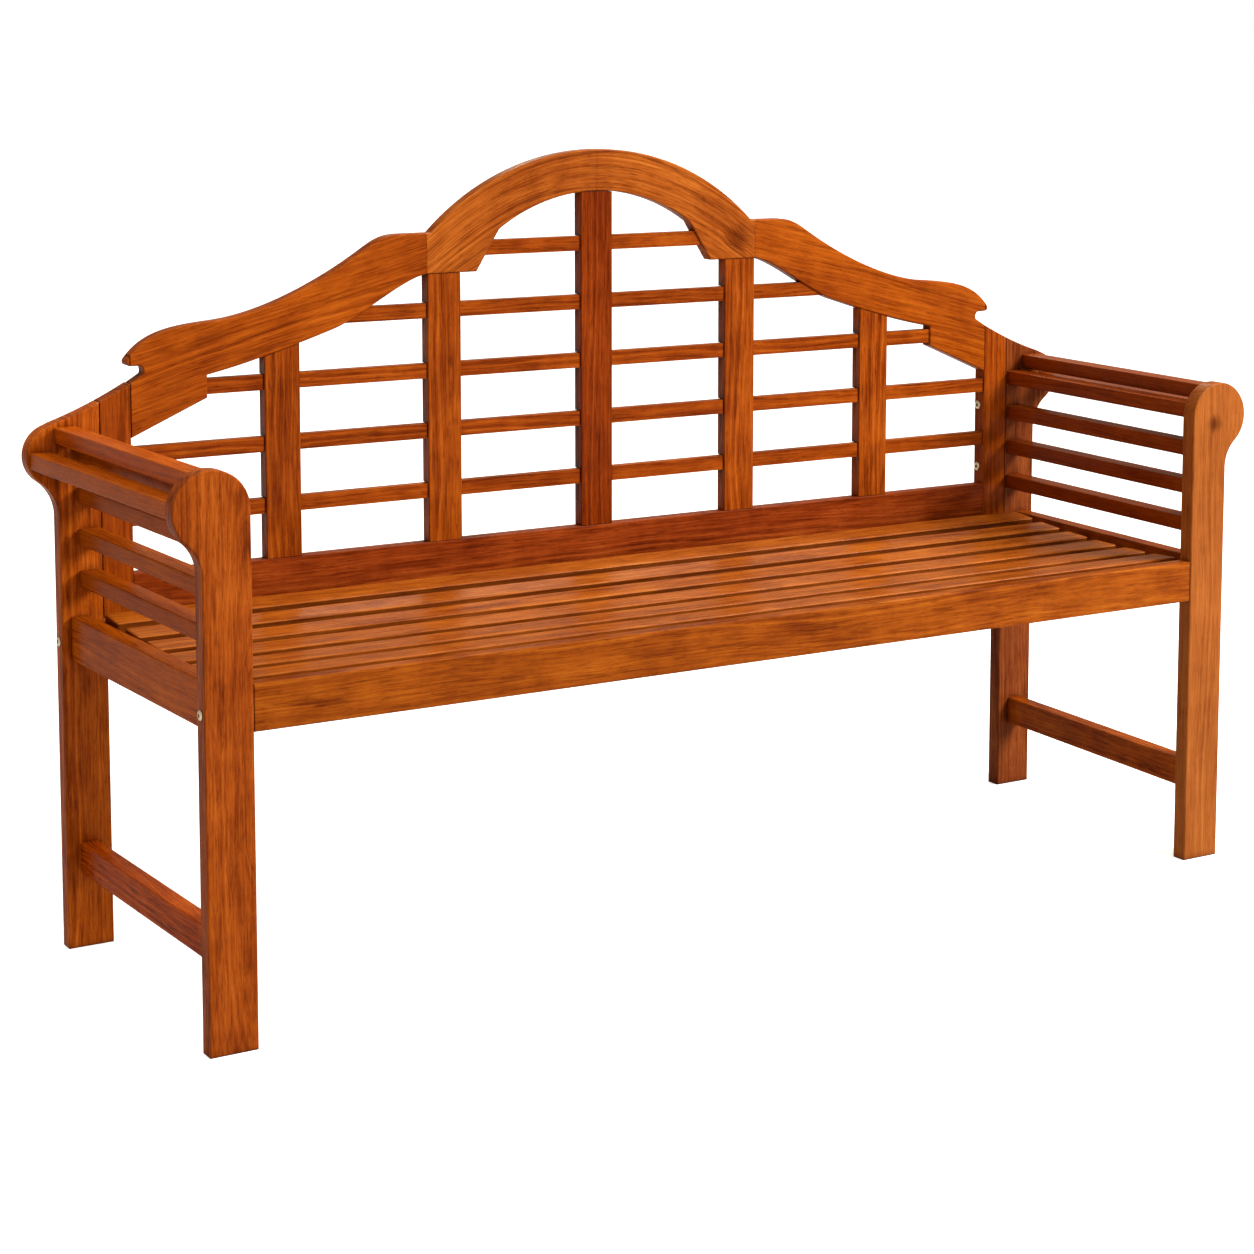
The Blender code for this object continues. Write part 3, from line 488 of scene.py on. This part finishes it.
# Knots: place in the frame, radius, how far they push the rings aside, and how dark they are
KNOTS = {
    "front_leg_right": [((740.0 * MM, FRONT_Y, 621.0 * MM), 7.5 * MM, 0.003, 0.80)],
    "crest_arch_right": [((232.0 * MM, REAR_Y, 872.0 * MM), 12.0 * MM, 0.010, 0.62)],
    "seat_slat_5": [((-330.0 * MM, REAR_Y - 130.0 * MM, 437.0 * MM), 7.0 * MM, 0.006, 0.70)],
}
# Boards that show a dark line where they meet their neighbour, and its x
SEAMS = {"back_stile": STILE_OUT, "crest_wing": STILE_IN}
# Boards cut flat through the rings, which show pointed arches: tilt and depth of the heart
FLAT_SAWN = {"front_leg_left": (0.11, 0.022), "front_leg_right": (0.05, 0.05),
             "back_slat_centre": (0.04, 0.06), "front_apron": (0.03, 0.03)}


def grain_turn(name):
    if name.startswith(VERTICAL):
        return ALONG_Z
    if name.startswith(ALONG_SIDE):
        return ALONG_Y
    side = -1 if name.endswith("left") else 1
    if name.startswith("crest_wing"):
        return sloping(-side * WING_GRAIN)
    return ALONG_X


def by_prefix(table, name, default=None):
    return next((value for key, value in table.items() if name.startswith(key)), default)


def wood_for(name, seed):
    """A cut of hardwood for the board that stands in for, or is, a CAD node."""
    low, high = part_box(name)
    draw = random.Random(1000 + seed)
    tilt, heart = FLAT_SAWN.get(name, (draw.uniform(0.02, 0.07), draw.uniform(0.035, 0.09)))
    own = draw.uniform(0.96, 1.04)
    centre = (low + high) / 2
    is_arch = name.startswith("crest_arch")
    if is_arch:
        centre.x = 0.0
    timber = Timber(centre=tuple(centre), turn=grain_turn(name), seed=seed,
                    tone=tuple(channel * own for channel in by_prefix(TONES_AND_PAINTED_LIGHT, name)), tilt=tilt, heart=heart,
                    figure=by_prefix(FIGURES, name, PLAIN_FIGURE), knots=KNOTS.get(name, ()),
                    sheen=by_prefix(SHEENS, name, PLAIN_SHEEN), sweep=ARCH_SWEEP if is_arch else 0.0,
                    sawn_sides=name.startswith("seat_slat"),
                    seam=high.x if name.endswith("_apron") else by_prefix(SEAMS, name))
    return hardwood("wood_" + name, timber)


# Geometry

def finish_mesh(piece, node, material):
    piece.data.materials.clear()
    piece.data.materials.append(material)
    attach(piece, "root")
    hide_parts(node)
    return piece


def smooth(obj):
    for polygon in obj.data.polygons:
        polygon.use_smooth = True
    normals = obj.modifiers.new("face_normals", "WEIGHTED_NORMAL")
    normals.weight = FACE_WEIGHT


def free_edge(_x, _z):
    return 1.0


def shaped_board(name, outline, y_front, thickness, side, share=free_edge):
    """Board cut to an outline. The share of the rounding at a point is smaller along joints."""
    bm = bmesh.new()
    rings = [[bm.verts.new((side * x, y, z)) for x, z in outline] for y in (y_front, y_front + thickness)]
    weight = bm.edges.layers.float.new("bevel_weight_edge")
    count = len(outline)
    for i in range(count):
        j = (i + 1) % count
        bm.faces.new((rings[0][i], rings[0][j], rings[1][j], rings[1][i]))
        for ring in rings:
            bm.edges.get((ring[i], ring[j]))[weight] = max(share(*outline[i]), share(*outline[j]))
    bm.faces.new(rings[0])
    bm.faces.new(list(reversed(rings[1])))
    for i, (front, rear) in enumerate(zip(*rings)):
        before, here, after = (Vector(outline[k % count]) for k in (i - 1, i, i + 1))
        bend = (here - before).angle(after - here, 0.0)
        if bend > SHARP_BEND:
            bm.edges.get((front, rear))[weight] = min(BEND_SHARE, share(*outline[i]))
    bmesh.ops.recalc_face_normals(bm, faces=bm.faces)
    mesh = bpy.data.meshes.new(name)
    bm.to_mesh(mesh)
    bm.free()
    board = bpy.data.objects.new(name, mesh)
    bpy.context.collection.objects.link(board)
    bevel = board.modifiers.new("rounding", "BEVEL")
    bevel.limit_method = "WEIGHT"
    bevel.width = EASE
    bevel.segments = 4
    smooth(board)
    return board


def add_shaped(node, outline, y_front, thickness, side, seed, share=free_edge):
    board = shaped_board("fine_" + node, outline, y_front, thickness, side, share)
    return finish_mesh(board, node, wood_for(node, seed))


def joints(places):
    """Share of the rounding by the x of a joint, as {x: share}."""
    return lambda x, _z: next((part for at, part in places.items() if abs(x - at) < JOINT_REACH), 1.0)


def build_shaped_boards():
    for index, (label, side) in enumerate(SIDES.items()):
        seed = 11 + 20 * index
        add_shaped("front_leg_" + label, front_leg_outline(), FRONT_Y, LEG_THICK, side, seed)
        add_shaped("rear_leg_" + label, rear_leg_outline(), REAR_Y, LEG_THICK, side, seed + 1,
                   joints({STILE_OUT: OPEN_JOINT}))
        add_shaped("back_stile_" + label, stile_outline(), REAR_Y, LEG_THICK, side, seed + 2,
                   joints({STILE_OUT: OPEN_JOINT, STILE_IN: OPEN_JOINT}))
        add_shaped("crest_arch_" + label, arch_outline(), REAR_Y, BACK_THICK, side, ARCH_SEED,
                   joints({0.0: TIGHT_JOINT, WING_START: TIGHT_JOINT}))
        add_shaped("crest_wing_" + label, wing_outline(), REAR_Y, BACK_THICK, side, seed + 4,
                   joints({WING_START: TIGHT_JOINT, STILE_IN: OPEN_JOINT}))


def socket_ring(i):
    """Distance from the bolt's axis to its hexagonal socket, at step i of a full turn."""
    half_side = math.radians(30)
    turn = (math.tau * i / BOLT_STEPS + half_side) % (2 * half_side) - half_side
    return SOCKET_RADIUS * math.cos(half_side) / math.cos(turn)


def bolt_head(name, node, material):
    """Low domed head with a rolled rim and a hexagonal socket, on its shank."""
    low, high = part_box(node)
    middle = (low + high) / 2
    side = 1 if middle.x > 0 else -1
    direction = side if "apron" in node else -side             # from the shank towards the head
    top_x = high.x if direction > 0 else low.x
    seat_x = top_x - direction * HEAD_THICK
    shank = (high.x - low.x) - HEAD_THICK
    profile = [(-shank, SHANK_RADIUS), (0.0, SHANK_RADIUS)]
    profile += [(up * MM, HEAD_RADIUS - inwards * MM) for up, inwards in HEAD_PROFILE]
    lip_width, lip_depth = SOCKET_LIP
    bm = bmesh.new()
    rings = []
    for distance, radius in profile:
        rings.append([(distance, radius)] * BOLT_STEPS)
    for distance, wider in ((HEAD_THICK, lip_width), (HEAD_THICK - lip_depth, 0.0),
                            (HEAD_THICK - SOCKET_DEPTH, 0.0)):
        rings.append([(distance, socket_ring(i) + wider) for i in range(BOLT_STEPS)])
    made = []
    for ring in rings:
        made.append([bm.verts.new((seat_x + direction * distance,
                                   middle.y + radius * math.cos(math.tau * i / BOLT_STEPS),
                                   middle.z + radius * math.sin(math.tau * i / BOLT_STEPS)))
                     for i, (distance, radius) in enumerate(ring)])
    for ring, following in zip(made, made[1:]):
        for i in range(BOLT_STEPS):
            j = (i + 1) % BOLT_STEPS
            bm.faces.new((ring[i], ring[j], following[j], following[i]))
    bm.faces.new(made[0])
    bm.faces.new(list(reversed(made[-1])))
    bmesh.ops.recalc_face_normals(bm, faces=bm.faces)
    mesh = bpy.data.meshes.new(name)
    bm.to_mesh(mesh)
    bm.free()
    bolt = bpy.data.objects.new(name, mesh)
    bpy.context.collection.objects.link(bolt)
    smooth(bolt)
    return finish_mesh(bolt, node, material)


def build_bolts(material):
    for node in sorted(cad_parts):
        if "_bolt_" in node:
            bolt_head("fine_" + node, node, material)


def dress_cad_boards(metal):
    """Straight boards keep their CAD shape and get smooth shading and wood, the laths eased edges too."""
    shaped = ("front_leg", "rear_leg", "back_stile", "crest_")
    for seed, (name, obj) in enumerate(sorted(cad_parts.items())):
        if name.startswith(shaped) or "_bolt_" in name:
            continue
        weld = obj.modifiers.new("weld", "WELD")
        weld.merge_threshold = WELD_REACH
        if name.startswith("back_lath"):
            bevel = obj.modifiers.new("eased_edges", "BEVEL")
            bevel.width = LATH_EASE
            bevel.segments = 3
            bevel.limit_method = "ANGLE"
            bevel.angle_limit = LATH_CORNER
        smooth(obj)
        obj.data.materials.clear()
        obj.data.materials.append(metal if name.startswith("barrel_nut") else wood_for(name, 100 + seed))


# Stage

CAMERA_AT = (-1.8586, -2.7902 + FRONT_Y, 1.1589)
CAMERA_YAW = math.radians(30.55)
CAMERA_PITCH = math.radians(6.276)
CAMERA_LENS = 77.37
CAMERA_SHIFT_Y = -0.235
SENSOR_WIDTH = 36.0
WHITE = (1.0, 1.0, 1.0)
WARM = (1.0, 0.84, 0.66)        # fill, rim and the room's own light
WORLD_LIGHT = 0.32              # strength of the room as light
FLOOR_REACH = 30.0
FLOOR_LIGHT = (0.50, 0.50, 0.50, 1.0)   # the floor as light, dimmer than the camera sees it
FLOOR_GLOW = 0.55
LIGHT_TARGET = (0.0, 0.0, 0.5)
# Softboxes: place, size, watts and colour
SOFTBOXES = {
    "key": ((2.6, -2.9, 2.6), (2.0, 1.7), 265.0, WHITE),
    "fill": ((-3.4, -2.2, 2.2), (2.2, 2.0), 20.0, WARM),
    "rim": ((1.9, 3.4, 2.8), (2.0, 1.0), 34.0, WARM),
}
CEILING_POWER = 2.5
CEILING_SPREAD = math.radians(70)
CEILING_DIRECTION = (-0.20, 0.25, -1.30)


def build_camera():
    data = bpy.data.cameras.new("camera")
    data.lens = CAMERA_LENS
    data.sensor_width = SENSOR_WIDTH
    data.shift_y = CAMERA_SHIFT_Y
    camera = bpy.data.objects.new("camera", data)
    camera.location = CAMERA_AT
    camera.rotation_euler = (math.radians(90) - CAMERA_PITCH, 0.0, -CAMERA_YAW)
    bpy.context.collection.objects.link(camera)
    bpy.context.scene.camera = camera


def aimed(direction):
    """Turn that points a light's -Z axis along a direction."""
    return Vector(direction).to_track_quat("-Z", "Y").to_euler()


def add_softbox(name, place, size, power, colour):
    data = bpy.data.lights.new(name, "AREA")
    data.shape = "RECTANGLE"
    data.size, data.size_y = size
    data.energy = power
    data.color = colour
    light = bpy.data.objects.new(name, data)
    light.location = place
    light.visible_camera = False
    light.rotation_euler = aimed(Vector(LIGHT_TARGET) - Vector(place))
    bpy.context.collection.objects.link(light)


def build_world():
    """White room: plain white behind the bench, a dimmer, warmer white as light."""
    world = bpy.data.worlds.new("studio")
    world.use_nodes = True
    nodes, links = world.node_tree.nodes, world.node_tree.links
    background = nodes["Background"]
    path = nodes.new("ShaderNodeLightPath")
    tint = nodes.new("ShaderNodeMix")
    tint.data_type = "RGBA"
    links.new(path.outputs["Is Camera Ray"], tint.inputs[0])
    tint.inputs[6].default_value = (*(WORLD_LIGHT * channel for channel in WARM), 1.0)
    tint.inputs[7].default_value = (*WHITE, 1.0)
    links.new(tint.outputs[2], background.inputs["Color"])
    bpy.context.scene.world = world


def build_floor():
    """Plain pale floor. It is brighter to the camera than as light, so that hardly any shadow shows."""
    mesh = bpy.data.meshes.new("floor")
    corners = [(x * FLOOR_REACH, y * FLOOR_REACH, 0) for x, y in ((-1, -1), (1, -1), (1, 1), (-1, 1))]
    mesh.from_pydata(corners, [], [(0, 1, 2, 3)])
    floor = bpy.data.objects.new("floor", mesh)
    bpy.context.collection.objects.link(floor)
    paint = bpy.data.materials.new("floor_paint")
    g = Graph(paint)
    mottle = g.noise(g.add("TexCoord").outputs["Object"], (1.0, 1.0, 1.0), 3.0, 3.0).outputs["Fac"]
    seen = g.add("LightPath").outputs["Is Camera Ray"]
    pale = g.ramp(mottle, [(0.3, (0.95, 0.95, 0.95)), (0.7, (0.96, 0.96, 0.96))])
    g.feed(g.shader.inputs["Base Color"], g.mix("MIX", seen, FLOOR_LIGHT, pale))
    g.shader.inputs["Emission Color"].default_value = (*WHITE, 1.0)
    g.feed(g.shader.inputs["Emission Strength"], g.math("MULTIPLY", seen, FLOOR_GLOW))
    g.shader.inputs["Roughness"].default_value = 0.9
    mesh.materials.append(paint)


def build_lights():
    for name, settings in SOFTBOXES.items():
        add_softbox(name, *settings)
    data = bpy.data.lights.new("ceiling", "SUN")
    data.energy = CEILING_POWER
    data.angle = CEILING_SPREAD
    ceiling = bpy.data.objects.new("ceiling", data)
    ceiling.rotation_euler = aimed(CEILING_DIRECTION)
    bpy.context.collection.objects.link(ceiling)


BRASS = brass()
build_shaped_boards()
build_bolts(BRASS)
dress_cad_boards(BRASS)
build_camera()
build_floor()
build_world()
build_lights()
bpy.context.scene.view_settings.view_transform = "Standard"
